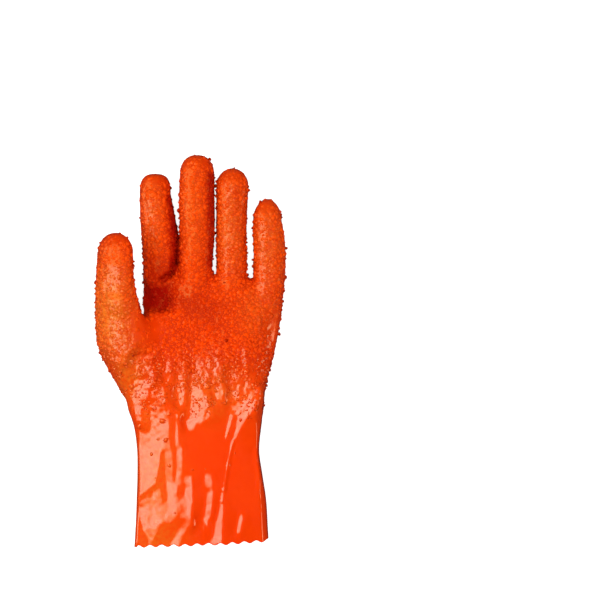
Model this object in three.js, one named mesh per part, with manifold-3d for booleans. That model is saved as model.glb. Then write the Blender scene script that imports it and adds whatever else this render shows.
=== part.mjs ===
// A left-hand waterproof work glove: one dipped shell with four fingers, a thumb and a long cuff,
// hollow all the way, lying on its back with the palm up.
// X runs across the hand, the thumb on the negative side. Y runs from the hem to the fingertips.
// Z is up from the surface that the glove lies on. Sizes are in millimetres.
import * as THREE from "three";
import { mergeVertices } from "three/addons/utils/BufferGeometryUtils.js";
import Module from "manifold-3d";

const wasm = await Module();
wasm.setup();

// Driving sizes.
const WALL = 1.8; // coating and knitted backing together
const LENGTH = 300; // middle fingertip to the lowest point of the hem
const HEM_Y = -LENGTH / 2;
const MOUTH_OVERRUN = 6; // how far the lofts run past the hem before it is cut
const STEP_ALONG = 8; // spacing of the lofted sections
const HAND_SIDES = 44; // facets around the hand and cuff
const FINGER_SIDES = 16; // facets around a finger
const TIP_RINGS = 3; // sections that round a fingertip off
const COLOUR = 0xe8480c;

// The hem is cut through both layers with a pinking blade, on a slight slant.
const HEM = { lowX: -43, rise: 0.05, pitch: 9, depth: 1.9, pointsPerWave: 6 };

// The hand and cuff, one row for each section. base is how low the round section would reach:
// below 0 it lies flat on the surface. square is the section's power, 2 being an ellipse.
const HAND = [
  { y: -158, left: -44.0, right: 60.5, base: -2.0, top: 33, square: 2.3 },
  { y: -138, left: -42.6, right: 59.4, base: -2.5, top: 34, square: 2.3 },
  { y: -114, left: -41.6, right: 58.0, base: -3.0, top: 35, square: 2.3 },
  { y: -95, left: -41.0, right: 56.4, base: -3.0, top: 36, square: 2.3 },
  { y: -76, left: -41.2, right: 52.6, base: -3.0, top: 36, square: 2.2 },
  { y: -58, left: -43.5, right: 54.2, base: -3.0, top: 37, square: 2.2 },
  { y: -42, left: -48.5, right: 56.2, base: -3.0, top: 38, square: 2.2 },
  { y: -24, left: -51.0, right: 58.0, base: -3.0, top: 38, square: 2.3 },
  { y: -6, left: -48.0, right: 63.0, base: -2.5, top: 37, square: 2.4 },
  { y: 12, left: -41.0, right: 66.8, base: -1.5, top: 35, square: 2.5 },
  { y: 28, left: -37.5, right: 69.4, base: 0.0, top: 33, square: 2.5 },
  { y: 42, left: -37.0, right: 70.4, base: 2.0, top: 30, square: 2.4 },
  { y: 50, left: -36.0, right: 67.0, base: 4.0, top: 28, square: 2.3 },
  { y: 55, left: -32.0, right: 51.0, base: 6.0, top: 25, square: 2.2 },
  { y: 59, left: -24.0, right: 32.0, base: 10.0, top: 20, square: 2.0 },
];

// Each finger, one row for each section: the middle of the section, its width and its thickness.
// The first rows lie inside the hand. The last row is where the rounding of the tip starts.
const FINGERS = {
  thumb: {
    tip: 90.5,
    rows: [
      { y: -46, x: -31.0, z: 18.0, width: 24.0, thick: 24.0 },
      { y: -34, x: -36.0, z: 19.5, width: 32.0, thick: 29.0 },
      { y: -22, x: -40.5, z: 21.5, width: 36.5, thick: 32.0 },
      { y: -10, x: -44.8, z: 23.5, width: 41.0, thick: 33.5 },
      { y: 3, x: -48.6, z: 26.0, width: 43.8, thick: 33.5 },
      { y: 18, x: -51.8, z: 28.5, width: 41.4, thick: 32.0 },
      { y: 33, x: -54.2, z: 31.0, width: 36.0, thick: 29.5 },
      { y: 46, x: -56.2, z: 33.0, width: 32.0, thick: 27.5 },
      { y: 60, x: -56.6, z: 35.0, width: 29.4, thick: 26.0 },
      { y: 74, x: -56.0, z: 37.0, width: 28.2, thick: 24.0 },
    ],
  },
  index: {
    tip: 136,
    rows: [
      { y: 22, x: -18.5, z: 14.0, width: 20.0, thick: 18.0 },
      { y: 38, x: -21.5, z: 13.0, width: 27.5, thick: 22.0 },
      { y: 54, x: -22.8, z: 12.8, width: 28.0, thick: 24.0 },
      { y: 68, x: -22.8, z: 13.2, width: 27.8, thick: 25.0 },
      { y: 82, x: -23.2, z: 14.0, width: 28.2, thick: 25.0 },
      { y: 96, x: -24.6, z: 15.5, width: 28.2, thick: 25.0 },
      { y: 109, x: -25.8, z: 17.5, width: 27.6, thick: 24.5 },
      { y: 120, x: -26.2, z: 19.5, width: 26.2, thick: 23.5 },
    ],
  },
  middle: {
    tip: 150,
    rows: [
      { y: 22, x: 1.5, z: 16.0, width: 20.0, thick: 19.0 },
      { y: 40, x: 3.4, z: 17.5, width: 26.6, thick: 25.0 },
      { y: 56, x: 3.6, z: 18.3, width: 26.0, thick: 25.5 },
      { y: 68, x: 3.9, z: 19.0, width: 25.8, thick: 25.5 },
      { y: 84, x: 4.8, z: 20.0, width: 26.8, thick: 25.5 },
      { y: 100, x: 5.1, z: 22.0, width: 27.4, thick: 25.5 },
      { y: 118, x: 5.1, z: 24.5, width: 27.4, thick: 25.0 },
      { y: 133, x: 5.4, z: 27.0, width: 26.8, thick: 23.5 },
    ],
  },
  ring: {
    tip: 140,
    rows: [
      { y: 22, x: 27.5, z: 15.5, width: 18.0, thick: 18.0 },
      { y: 40, x: 30.0, z: 17.0, width: 24.0, thick: 24.0 },
      { y: 56, x: 31.0, z: 17.8, width: 23.4, thick: 24.5 },
      { y: 68, x: 31.6, z: 18.6, width: 23.2, thick: 24.0 },
      { y: 84, x: 31.2, z: 20.0, width: 23.4, thick: 23.5 },
      { y: 98, x: 31.4, z: 21.8, width: 23.6, thick: 23.5 },
      { y: 112, x: 31.8, z: 24.0, width: 24.2, thick: 23.5 },
      { y: 126, x: 32.3, z: 26.5, width: 25.0, thick: 22.5 },
    ],
  },
  little: {
    tip: 116.6,
    rows: [
      { y: 22, x: 53.0, z: 15.5, width: 18.0, thick: 17.5 },
      { y: 40, x: 57.6, z: 17.0, width: 25.2, thick: 23.5 },
      { y: 56, x: 59.8, z: 17.8, width: 24.6, thick: 23.5 },
      { y: 72, x: 60.6, z: 19.5, width: 24.8, thick: 23.0 },
      { y: 88, x: 59.8, z: 22.0, width: 24.4, thick: 22.5 },
      { y: 102, x: 58.8, z: 24.5, width: 21.6, thick: 20.5 },
    ],
  },
};

// Round swellings and hollows of the palm side: middle, reach along X and Y, and height.
const SWELLS = [
  { name: "thumb ball", x: -30, y: -8, reachX: 20, reachY: 28, height: 3.0 },
  { name: "heel of the hand", x: 42, y: -12, reachX: 18, reachY: 30, height: 3.0 },
  { name: "hollow of the palm", x: 2, y: 14, reachX: 26, reachY: 20, height: -4.0 },
  { name: "recess at the index finger", x: -26, y: 45, reachX: 13, reachY: 11, height: -8.0 },
  { name: "web of the thumb", x: -30, y: 25, reachX: 13, reachY: 9, height: 3.0 },
  { name: "wrist, middle", x: 10, y: -58, reachX: 26, reachY: 16, height: -3.0 },
  { name: "buckle above the hem", x: -22, y: -117, reachX: 17, reachY: 10, height: 4.0 },
  { name: "pocket at the hem", x: -17, y: -141, reachX: 11, reachY: 12, height: -6.0 },
  { name: "slack beside the hem", x: 11, y: -138, reachX: 7, reachY: 16, height: -5.0 },
];

// Long folds of the cuff's palm side, each from one end to the other: a ridge, or a furrow
// where height is below 0. reach is its half-width.
const FOLDS = [
  { name: "left flank", x0: -33, y0: -62, x1: -25, y1: -112, reach: 6, height: -3.5 },
  { name: "left crest", x0: -14, y0: -40, x1: -16, y1: -104, reach: 5, height: 3.0 },
  { name: "furrow beside it", x0: -5, y0: -58, x1: -4, y1: -118, reach: 5, height: -3.5 },
  { name: "middle crest", x0: 4, y0: -66, x1: 0, y1: -150, reach: 5, height: 2.5 },
  { name: "long crest", x0: 40, y0: -48, x1: 20, y1: -150, reach: 5, height: 3.0 },
  { name: "right flank", x0: 47, y0: -66, x1: 40, y1: -140, reach: 7, height: -3.0 },
];

const clamp = (v, low, high) => Math.min(high, Math.max(low, v));
const smooth = (t) => t * t * (3 - 2 * t);

// Every column of a table at one y, by a cubic through its rows.
function rowAt(rows, y) {
  const i = clamp(rows.findIndex((r) => r.y > y), 1, rows.length - 1);
  const last = rows[rows.length - 1].y <= y ? rows.length - 1 : i;
  const [b, c] = [rows[last - 1], rows[last]];
  const [a, d] = [rows[Math.max(0, last - 2)], rows[Math.min(rows.length - 1, last + 1)]];
  const span = c.y - b.y;
  const t = clamp((y - b.y) / span, 0, 1);
  const out = { y };
  for (const key of Object.keys(b)) {
    if (key === "y") continue;
    const slopeB = ((c[key] - a[key]) / (c.y - a.y)) * span;
    const slopeC = ((d[key] - b[key]) / (d.y - b.y)) * span;
    out[key] =
      (2 * t ** 3 - 3 * t ** 2 + 1) * b[key] +
      (t ** 3 - 2 * t ** 2 + t) * slopeB +
      (3 * t ** 2 - 2 * t ** 3) * c[key] +
      (t ** 3 - t ** 2) * slopeC;
  }
  return out;
}

// Evenly spaced stations from one y to another.
function stations(from, to, step) {
  const count = Math.ceil((to - from) / step);
  return Array.from({ length: count + 1 }, (_, i) => from + ((to - from) * i) / count);
}

// How far the folds and swellings lift the palm side at a point.
function relief(x, y) {
  let lift = 0;
  for (const s of SWELLS) {
    const far = ((x - s.x) / s.reachX) ** 2 + ((y - s.y) / s.reachY) ** 2;
    lift += s.height * Math.exp(-far);
  }
  for (const f of FOLDS) {
    const [dx, dy] = [f.x1 - f.x0, f.y1 - f.y0];
    const long = Math.hypot(dx, dy);
    const along = ((x - f.x0) * dx + (y - f.y0) * dy) / long ** 2;
    const off = ((x - f.x0) * dy - (y - f.y0) * dx) / long;
    const fade = smooth(clamp(along * 5, 0, 1)) * smooth(clamp((1 - along) * 5 + 0.4, 0, 1));
    lift += f.height * fade * Math.exp(-((off / f.reach) ** 2));
  }
  return lift;
}

// The solid inside a stack of closed rings of points, with flat ends.
function loft(rings) {
  const sides = rings[0].length;
  const points = rings.flat();
  const faces = [];
  for (let r = 0; r + 1 < rings.length; r++)
    for (let s = 0; s < sides; s++) {
      const next = (s + 1) % sides;
      const [a, b] = [r * sides + s, r * sides + next];
      faces.push(a, b + sides, b, a, a + sides, b + sides);
    }
  for (const [r, turned] of [[0, false], [rings.length - 1, true]]) {
    const middle = points.length;
    const sum = rings[r].reduce((t, p) => t.add(p), new THREE.Vector3());
    points.push(sum.divideScalar(sides));
    for (let s = 0; s < sides; s++) {
      const [a, b] = [r * sides + s, r * sides + ((s + 1) % sides)];
      faces.push(...(turned ? [middle, b, a] : [middle, a, b]));
    }
  }
  const geometry = new THREE.BufferGeometry().setFromPoints(points).setIndex(faces);
  return solidOf(geometry);
}

// A closed three.js geometry as a solid that can be joined and cut.
function solidOf(geometry) {
  const bare = geometry.clone();
  bare.deleteAttribute("normal");
  bare.deleteAttribute("uv");
  const merged = mergeVertices(bare, 1e-4);
  const mesh = new wasm.Mesh({
    numProp: 3,
    vertProperties: new Float32Array(merged.getAttribute("position").array),
    triVerts: new Uint32Array(merged.index.array),
  });
  return new wasm.Manifold(mesh);
}

// A point of a round or squarish section, at an angle that runs from +X over the top.
function onSection(angle, halfWidth, halfThick, power) {
  const [c, s] = [Math.cos(angle), Math.sin(angle)];
  return [
    Math.sign(c) * halfWidth * Math.abs(c) ** (2 / power),
    Math.sign(s) * halfThick * Math.abs(s) ** (2 / power),
  ];
}

// The hand and cuff, as the solid inside its outer face, or inside its inner face with an inset.
function handSolid(inset) {
  const from = HEM_Y - MOUTH_OVERRUN;
  const to = HAND[HAND.length - 1].y - inset;
  const rings = stations(from, to, STEP_ALONG).map((y) => {
    const r = rowAt(HAND, y + inset * smooth(clamp((y - 40) / 10, 0, 1)));
    const [halfWidth, halfThick] = [(r.right - r.left) / 2 - inset, (r.top - r.base) / 2 - inset];
    const [midX, midZ] = [(r.left + r.right) / 2, (r.top + r.base) / 2];
    return Array.from({ length: HAND_SIDES }, (_, i) => {
      const angle = ((i + 0.5) / HAND_SIDES) * 2 * Math.PI;
      const [x, z] = onSection(angle, halfWidth, halfThick, r.square);
      const palmSide = smooth(clamp(Math.sin(angle) * 2, 0, 1));
      const lifted = midZ + z + palmSide * relief(midX + x, y);
      return new THREE.Vector3(midX + x, y, Math.max(lifted, inset));
    });
  });
  return loft(rings);
}

// A finger, as the solid inside its outer face, or inside its inner face with an inset.
function fingerSolid({ tip, rows }, inset) {
  const [from, shoulder] = [rows[0].y + inset, rows[rows.length - 1].y];
  const ringAt = (y, share) => {
    const r = rowAt(rows, y);
    return Array.from({ length: FINGER_SIDES }, (_, i) => {
      const angle = ((i + 0.5) / FINGER_SIDES) * 2 * Math.PI;
      const [x, z] = onSection(angle, (r.width / 2 - inset) * share, (r.thick / 2 - inset) * share, 2);
      return new THREE.Vector3(r.x + x, y, Math.max(r.z + z, inset));
    });
  };
  const rings = stations(from, shoulder, STEP_ALONG).map((y) => ringAt(y, 1));
  for (let i = 1; i <= TIP_RINGS; i++) {
    const turn = ((i / TIP_RINGS) * 0.94 * Math.PI) / 2;
    const y = shoulder + (tip - inset - shoulder) * Math.sin(turn) / Math.sin(0.47 * Math.PI);
    rings.push(ringAt(y, Math.cos(turn)));
  }
  return loft(rings);
}

// Everything below the wavy hem line, to cut the mouth with.
function belowHem() {
  const [from, to, low, high] = [-60, 80, -20, 80];
  const count = Math.round(((to - from) / HEM.pitch) * HEM.pointsPerWave);
  const line = new THREE.Shape();
  line.moveTo(from, HEM_Y - 3 * MOUTH_OVERRUN);
  line.lineTo(to, HEM_Y - 3 * MOUTH_OVERRUN);
  for (let i = count; i >= 0; i--) {
    const x = from + ((to - from) * i) / count;
    const wave = (1 - Math.cos((2 * Math.PI * (x - HEM.lowX)) / HEM.pitch)) / 2;
    line.lineTo(x, HEM_Y + Math.max(0, x - HEM.lowX) * HEM.rise + HEM.depth * wave);
  }
  const cutter = new THREE.ExtrudeGeometry(line, { depth: high - low, bevelEnabled: false });
  return solidOf(cutter.translate(0, 0, low));
}

const fingers = Object.values(FINGERS);
const joined = (inset) =>
  fingers.reduce((whole, f) => whole.add(fingerSolid(f, inset)), handSolid(inset));
const shell = joined(0).subtract(joined(WALL)).subtract(belowHem());

// The surface as a mesh, with the middle of its base at the origin.
const made = shell.getMesh();
const geometry = new THREE.BufferGeometry();
geometry.setAttribute("position", new THREE.BufferAttribute(made.vertProperties, 3));
geometry.setIndex(new THREE.BufferAttribute(made.triVerts, 1));
geometry.computeBoundingBox();
const middle = geometry.boundingBox.getCenter(new THREE.Vector3());
geometry.translate(-middle.x, -middle.y, 0);
geometry.computeVertexNormals();

const material = new THREE.MeshStandardMaterial({ color: COLOUR, roughness: 0.3, metalness: 0 });
const mesh = new THREE.Mesh(geometry, material);
mesh.name = "glove_shell";
const glove = new THREE.Group();
glove.add(mesh);

export default glove;
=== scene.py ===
"""The looks of a left-hand waterproof work glove, lying on its back with the palm up.

The glove is one glossy dipped shell with a matt knitted inside. Crumbs of the same plastic cover the
palm, the fingers and the thumb. Shapes are worked out in millimetres and turned into metres when they
become objects. X runs across the hand with the thumb on the negative side, Y from the hem to the
fingertips, and Z up.
"""
import math
from collections import namedtuple
from contextlib import contextmanager

import bmesh
import bpy
import numpy as np
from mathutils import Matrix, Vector, noise
from mathutils.bvhtree import BVHTree


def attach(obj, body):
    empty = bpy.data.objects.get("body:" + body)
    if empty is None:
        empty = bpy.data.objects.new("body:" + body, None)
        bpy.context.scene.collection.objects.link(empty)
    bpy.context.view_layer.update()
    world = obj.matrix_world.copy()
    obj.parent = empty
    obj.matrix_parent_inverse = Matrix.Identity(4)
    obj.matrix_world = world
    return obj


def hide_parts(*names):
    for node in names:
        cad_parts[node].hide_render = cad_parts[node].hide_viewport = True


MM = 0.001

# Driving sizes, in millimetres.
LENGTH = 300.0
HEM_Y = -LENGTH / 2
WALL = 1.7
MOUTH_OVERRUN = 6.0
CENTRE_X = 0.32  # the middle of the outline in the section tables
CENTRE_Y = 0.04
VOXEL = 1.06  # grid of the outer skin
KNIT_SHARE = 0.3  # how many of the outer skin's triangles the inner one has
THIN_SHARE = 0.3  # where the glove is pressed thin, the wall is no more than this share of it
LEAST_COVER = 0.15  # where less plastic than this would cover the knit, the knit is left out
SKIN_GAP = 0.05  # a ray that measures the room inside starts this far under the skin
SMOOTH_REACH = 3.4  # how far the joins between the fingers and the hand are rounded
RING_STEP = 2.5  # spacing of the lofted sections
HAND_SIDES = 112
FINGER_SIDES = 48
TIP_RINGS = 9

# The photograph's frame: the real size of a pixel, and the pixel at the section tables' origin.
PIXEL = 0.765
ORIGIN_PX = (190.5, 351.5)
FRAME_PX = 600
FOCUS_Z = 20.0
CAMERA_DISTANCE = 1600.0
SENSOR = 36.0

HandSection = namedtuple("HandSection", "y left right base top square")
FingerSection = namedtuple("FingerSection", "y x z width thick")
Finger = namedtuple("Finger", "tip spread spread_y tilt square blunt rows")
Facet = namedtuple("Facet", "x0 y0 x1 y1 half0 half1 lean pitch hold", defaults=[0.0, 1.0])
Ridge = namedtuple("Ridge", "x0 y0 x1 y1 reach height")
Lump = namedtuple("Lump", "height size seed")
Strip = namedtuple("Strip", "x0 y0 x1 y1 half edge share")
Wave = namedtuple("Wave", "height pitch start", defaults=[0.0])
Place = namedtuple("Place", "x y reach_x reach_y amount")
Crumb = namedtuple("Crumb", "x y radius")
Grade = namedtuple("Grade", "spacing small large low high longest sides rings seed")
Lamp = namedtuple("Lamp", "name azimuth elevation distance width height radiance mirrored colour")

# The hand and cuff. base is how low the round section would reach: below 0 it lies flat on the surface.
# square is the section's power, 2 being an ellipse.
HAND = [HandSection(*row) for row in (
    (-158, -44.0, 60.5, -2.0, 33, 2.3),
    (-138, -42.6, 59.4, -2.5, 34, 2.3),
    (-114, -41.6, 58.0, -3.0, 35, 2.3),
    (-95, -41.0, 55.2, -3.0, 36, 2.3),
    (-76, -41.2, 52.6, -3.0, 36, 2.2),
    (-58, -43.5, 54.2, -3.0, 37, 2.2),
    (-42, -48.5, 56.2, -3.0, 38, 2.2),
    (-24, -51.0, 58.0, -3.0, 38, 2.3),
    (-6, -48.0, 63.0, -2.5, 37, 2.4),
    (12, -41.0, 66.8, -1.5, 35, 2.5),
    (28, -37.5, 69.4, 0.0, 33, 2.5),
    (42, -37.0, 70.4, 2.0, 30, 2.4),
    (50, -36.0, 67.0, 4.0, 28, 2.3),
    (55, -32.0, 51.0, 6.0, 25, 2.2),
    (59, -24.0, 32.0, 10.0, 20, 2.0),
)]

# Each finger: where its tip ends, how it is moved aside, its slope across, the power of its section and how
# blunt its tip is, then for each section its y, the middle, the width and the thickness. The first sections
# lie inside the hand, and the last is where the rounding of the tip starts. While the glove is joined, the
# finger is moved aside by spread, from spread_y on, so that it doesn't grow together with its neighbours.
FINGERS = {
    "thumb": Finger(90.5, -4.0, 32.0, 0.45, 2.3, 2.1, [
        (-46, -31.0, 18.0, 24.0, 24.0),
        (-34, -36.0, 19.5, 32.0, 29.0),
        (-22, -40.5, 21.5, 36.5, 32.0),
        (-10, -44.8, 23.5, 41.0, 33.5),
        (3, -48.6, 26.0, 43.8, 33.5),
        (18, -51.8, 28.5, 41.4, 32.0),
        (33, -54.2, 31.0, 36.0, 29.5),
        (46, -56.2, 33.0, 32.0, 27.5),
        (60, -56.6, 35.0, 29.4, 26.0),
        (74, -56.0, 37.0, 28.2, 24.0),
    ]),
    "index": Finger(136.0, -5.0, 52.0, 0.06, 2.0, 3.0, [
        (22, -18.5, 14.0, 20.0, 18.0),
        (38, -21.5, 13.0, 27.5, 22.0),
        (54, -22.3, 12.8, 29.0, 24.0),
        (68, -22.2, 13.2, 29.2, 25.0),
        (82, -22.7, 14.0, 29.4, 25.0),
        (96, -24.6, 15.5, 28.2, 25.0),
        (109, -26.0, 17.5, 26.2, 24.0),
        (120, -27.0, 19.5, 24.2, 22.5),
    ]),
    "middle": Finger(150.0, 0.0, 52.0, 0.04, 2.0, 2.4, [
        (22, 1.5, 16.0, 20.0, 19.0),
        (40, 3.4, 17.5, 26.6, 25.0),
        (56, 3.6, 18.3, 26.0, 25.5),
        (68, 3.9, 19.0, 25.8, 25.5),
        (84, 4.8, 20.0, 26.8, 25.5),
        (100, 5.1, 22.0, 27.4, 25.5),
        (118, 5.1, 24.5, 27.4, 25.0),
        (133, 5.4, 27.0, 26.8, 23.5),
    ]),
    "ring": Finger(140.0, 5.0, 52.0, 0.10, 2.0, 2.0, [
        (22, 27.5, 15.5, 18.0, 18.0),
        (40, 30.0, 17.0, 24.0, 24.0),
        (56, 31.0, 17.8, 23.4, 24.5),
        (68, 31.6, 18.6, 23.2, 24.0),
        (84, 31.2, 20.0, 23.4, 23.5),
        (98, 31.4, 21.8, 23.6, 23.5),
        (112, 31.8, 24.0, 24.2, 23.5),
        (126, 32.3, 26.5, 25.0, 22.5),
    ]),
    "little": Finger(116.6, 7.0, 52.0, 0.10, 2.0, 1.9, [
        (22, 53.0, 15.5, 18.0, 17.5),
        (40, 57.6, 17.0, 25.2, 23.5),
        (56, 59.8, 17.8, 24.6, 23.5),
        (72, 60.6, 19.5, 24.8, 23.0),
        (88, 59.8, 22.0, 24.4, 22.5),
        (102, 58.8, 24.5, 21.6, 20.5),
    ]),
}
for name, finger in FINGERS.items():
    FINGERS[name] = finger._replace(rows=[FingerSection(*row) for row in finger.rows])
SPREAD_LENGTH = 20.0
SINK_SHARE = 0.75  # no point sinks by more than this share of its height over the middle of the wall

# Round swellings and hollows of the palm side.
SWELLS = [
    Place(-30, -8, 20, 28, 3.0),  # ball of the thumb
    Place(42, -12, 18, 30, 3.0),  # heel of the hand
    Place(2, 14, 26, 20, -4.0),  # hollow of the palm
    Place(-26, 45, 13, 11, -8.0),  # recess at the root of the index finger
    Place(-30, 25, 13, 9, 3.0),  # web of the thumb
    Place(10, -58, 26, 16, -2.0),  # wrist
]

# Flat stretches of the buckled cuff, as tapered strips from one end to the other. Their ends and half
# widths are in the photograph's pixels, given where each shows. lean is the slope across the glove,
# rising towards +X, and pitch the slope along it, rising towards the fingers, 0 unless given. hold is how
# firmly a stretch keeps these slopes, fully unless given. Later rows lie over earlier ones.
FACETS = [Facet(*row) for row in (
    (222, 398, 231, 548, 34, 32, -0.05, 0, 0.3),  # flat right half of the cuff
    (139.5, 432, 138.5, 500, 2.2, 2.2, 1.10),  # steep left edge
    (138.5, 500, 137.5, 547, 2, 2, 1.10),
    (143, 380, 144, 396, 6.5, 6.5, 0.56),  # patches under the ball of the thumb
    (139.5, 400, 139.8, 418, 3, 3, 0.42),
    (159, 390, 159, 409, 7.5, 7.5, 0.42),
    (162, 409, 162, 433, 10.5, 9.5, 0.42),
    (147, 408, 147, 425, 4.6, 4.6, -0.02),  # dull stretch between them
    (154, 432, 154, 446, 14, 14, 0.42),  # left flank, upper half of the cuff
    (149.5, 446, 150, 466, 10.5, 10.5, 0.42),
    (150, 466, 148.5, 484, 10.5, 8, 0.42),
    (147.5, 484, 142, 496, 7, 2.5, 0.42),
    (163.3, 456, 162.5, 470, 0.8, 3, -0.08, 0.05),  # valley beside it
    (162.5, 470, 160.5, 484, 3, 4.4, -0.08, 0.05),
    (141, 497.5, 154, 490, 2, 4.2, -0.05, 0.05),
    (164, 484, 164, 502, 2.4, 1.8, 0.05, 0.05),
    (170.3, 440, 171, 470, 4.6, 4.3, 0.42),  # middle of the left side
    (170.8, 470, 175, 503, 4.2, 6, 0.42),
    (157.5, 489, 157.5, 502, 3.8, 3.8, 0.31, 0.04),
    (172.5, 411, 174.2, 446, 1.6, 1.6, -0.15),  # furrow and narrow crest
    (177.8, 414, 177.8, 444, 1.8, 1.8, 0.52),
    (180, 447, 179.5, 481, 4, 3.8, 0.44),
    (175.3, 449, 175.3, 478, 0.9, 0.9, -0.20),
    (182, 385, 182.5, 402, 4.2, 4.2, 0.50),  # patches across the wrist
    (196.5, 382, 198, 398, 5, 6, 0.56),
    (200, 397, 200, 414, 9.3, 9.5, 0.58, 0.02),
    (188.5, 422.5, 211, 411.5, 5.2, 5.2, 0.58, 0.02),
    (219, 388, 221, 399, 5.5, 4.4, 0.58),
    (238, 394, 236, 412, 7, 5.5, 0.60),  # heel of the hand
    (232, 415, 226, 436, 2.6, 1.6, 0.58),
    (252, 386, 247, 406, 9, 9, 0.60),
    (247, 406, 241, 420, 8, 4.2, 0.62),
    (241, 420, 234, 440, 3.2, 1.6, 0.58),
    (236, 401.5, 246, 397, 1.5, 1.5, 0.02),
    (243, 391.5, 253, 388.5, 1.3, 1.3, 0.02),
    (254, 398, 262, 394, 1.2, 1.2, 0.05),
    (189, 476, 189.5, 500, 5, 4.6, 0.52),  # right end of the hem patch
    (189.5, 500, 188, 522, 4.6, 4.8, 0.52),
    (182, 484.5, 182, 491, 3.8, 3.4, -0.15, 0.10),  # small pit
    (144, 511, 186, 511, 8, 8, 0.58),  # patch above the hem
    (183, 495, 183, 516, 5.5, 6, 0.40),
    (180, 477, 180, 483, 5, 5, 0.44),
    (139.5, 499, 150, 494, 2.6, 3.2, 0, 0.03),  # dull corner of the hem
    (139, 516, 142, 548, 2.6, 9, 0.02, 0.03),
    (152, 534, 152, 548, 6, 9, 0, 0.03),
    (147, 518, 156, 532, 3.5, 3.5, 0.31, 0.02),  # between the arms
    (161, 532, 178, 532, 10, 10, 0.06, 0.22),  # dent that faces the hem
    (140.5, 508, 146.5, 528, 2.4, 2.2, 0.50, 0.03),  # arms of the V
    (146.5, 528, 152.5, 536, 2.2, 2, 0.44, 0.05),
    (151.5, 536, 150.5, 546, 1.6, 1.3, 0.36, 0.05),
    (186.5, 520, 175.5, 545, 4.2, 3.8, 0.46, 0.03),
    (209, 473, 209, 484, 4.6, 5.4, 0.42),  # fold by the hem
    (211, 490, 208.5, 515, 3.6, 4.2, 0.56),
    (205.5, 515, 206, 523, 2.6, 2.4, 0.56),
    (205.5, 523, 210, 545, 2.7, 2.7, 0.78),
    (211, 523, 212, 536, 2.6, 2.6, -0.10),
    (224, 492, 220, 520, 1.7, 3.9, 0.52),
    (219.5, 522, 219, 537, 4.4, 4.4, 0.48),
    (216, 538, 216, 546, 6.2, 6.2, 0.72),
    (242, 514, 238.5, 531, 2.4, 2.9, 0.58),  # glint by the hem
    (255.5, 451, 255.5, 458, 1.9, 1.7, 0.48),  # right edge of the wrist
    (257, 467, 257.8, 484, 1.6, 1.6, 0.46),
    (143, 358, 144, 373, 6.5, 6.5, 0.42),  # half lit between the crumbs of the wrist
    (168, 362, 170, 378, 4, 4, 0.35),
    (182, 366, 182, 386, 4, 4, 0.38),
    (204, 362, 200, 384, 9, 9, 0.36),
    (216, 362, 218, 382, 5, 5, 0.36),
    (243, 346, 243, 360, 2.4, 2.4, 0.36),
    (246, 362, 244, 372, 2.6, 2.6, 0.36),
    (234, 372, 238, 390, 5, 6, 0.36),
    (151, 374, 151.5, 383, 4.2, 4.2, 0.50),
    (263, 318, 262, 343, 1.2, 1.2, -0.77, 0.25, 0.7),  # streaks at the edge of the palm
    (269, 314, 268.5, 345, 1.3, 1.3, -0.77, 0.25, 0.8),
    (274.5, 312, 273.5, 343, 1.3, 1.3, -0.77, 0.25, 0.8),
    (271, 348, 269, 364, 2.4, 2, -0.77, 0.25, 0.8),
    (266, 364, 264.5, 382, 1, 1, -0.77, 0.25, 0.7),
    (124.5, 319, 126, 340, 12, 11, 0.48, 0, 0.8),  # lower patch of the thumb
    (126, 340, 121, 362, 11, 3, 0.46, 0, 0.7),
)]
FACET_EDGE = 1.6  # how softly a flat stretch ends
CUFF_FADE_FROM = 44.0  # no buckle reaches further up the palm than this
CUFF_FADE_TO = 20.0
SLACK_REACH = 45.0  # the widest swelling that the buckles may raise
BUCKLE_ROUNDS = 36  # how often the cloth between the flat stretches gives way to them
BUCKLE_FREEDOM = 0.96
MEASURED_FROM_Y = -46.0  # above this the form's own slopes are measured on the joined skin
MEASURED_BLEND = 10.0
STEEPEST = 1.4  # slopes past this, at the outline, count as this
RELIEF_STEP = 0.5  # the grid that the buckles are worked out on, and how far it reaches
RELIEF_X = (-70, 85)
RELIEF_Y = (-162, 40)
FORM_EDGE = 0.96  # the plain form is taken as steep as this far out, and no steeper

# Thin ridges of the cuff, their ends and reach in the photograph's pixels and their height in millimetres.
RIDGES = [
    Ridge(234, 440, 229, 463, 2.4, 0.85),
    Ridge(229, 463, 225, 488, 2.4, 0.95),
    Ridge(225, 488, 223, 500, 2.4, 0.80),
]

# The root of the index finger lies deeper than the web of the thumb, behind a short step.
STEP_LEFT_X = -38.4
STEP_LEFT_REACH = 0.9
STEP_LEFT_LEAN = 0.23  # keeps the side of the thumb, which leans over it, out of it
STEP_X = -26.0
STEP_HALF = 12.0
STEP_Y = 29.0
STEP_REACH = 3.6
STEP_END_Y = 62.0
STEP_DEPTH = 9.0
STEP_FLOOR_Z = 11.0  # the middle of the finger's height here

# The wrist, where the crumbs thin out, is lumpy, less so below WRIST_CALM_Y.
WRIST_FROM = -66.0
WRIST_TO = 12.0
WRIST_CALM_Y = -22.0
WRIST_CALM = 0.45

# Unevenness: the height and size of the lumps, and what tells one kind's noise from another's.
GRIT_LUMPS = (Lump(0.30, 4.5, 3.0), Lump(0.18, 2.8, 8.0))
WRIST_LUMPS = (Lump(0.42, 3.0, 4.0),)
SLACK_LUMPS = (Lump(0.50, 26.0, 5.0), Lump(0.09, 4.0, 6.0))
NOISE_GAIN = 1.6  # brings the noise to about -1 to 1

# The web between the thumb and the palm is drawn smooth over this stretch.
WEB_X = -35.0
WEB_Y = 9.0
WEB_HALF = 13.0
WEB_REACH = 35.0
WEB_SPREAD = 11.0
UNDERCUT_TO_Y = 35.0  # below this the web also fills the undercut beside the thumb
UNDERCUT_FADE = 12.0
UNDERCUT_FROM_Z = 8.0
RELAX_STEP = 0.8  # how far one round of smoothing moves a point towards its neighbours

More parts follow.
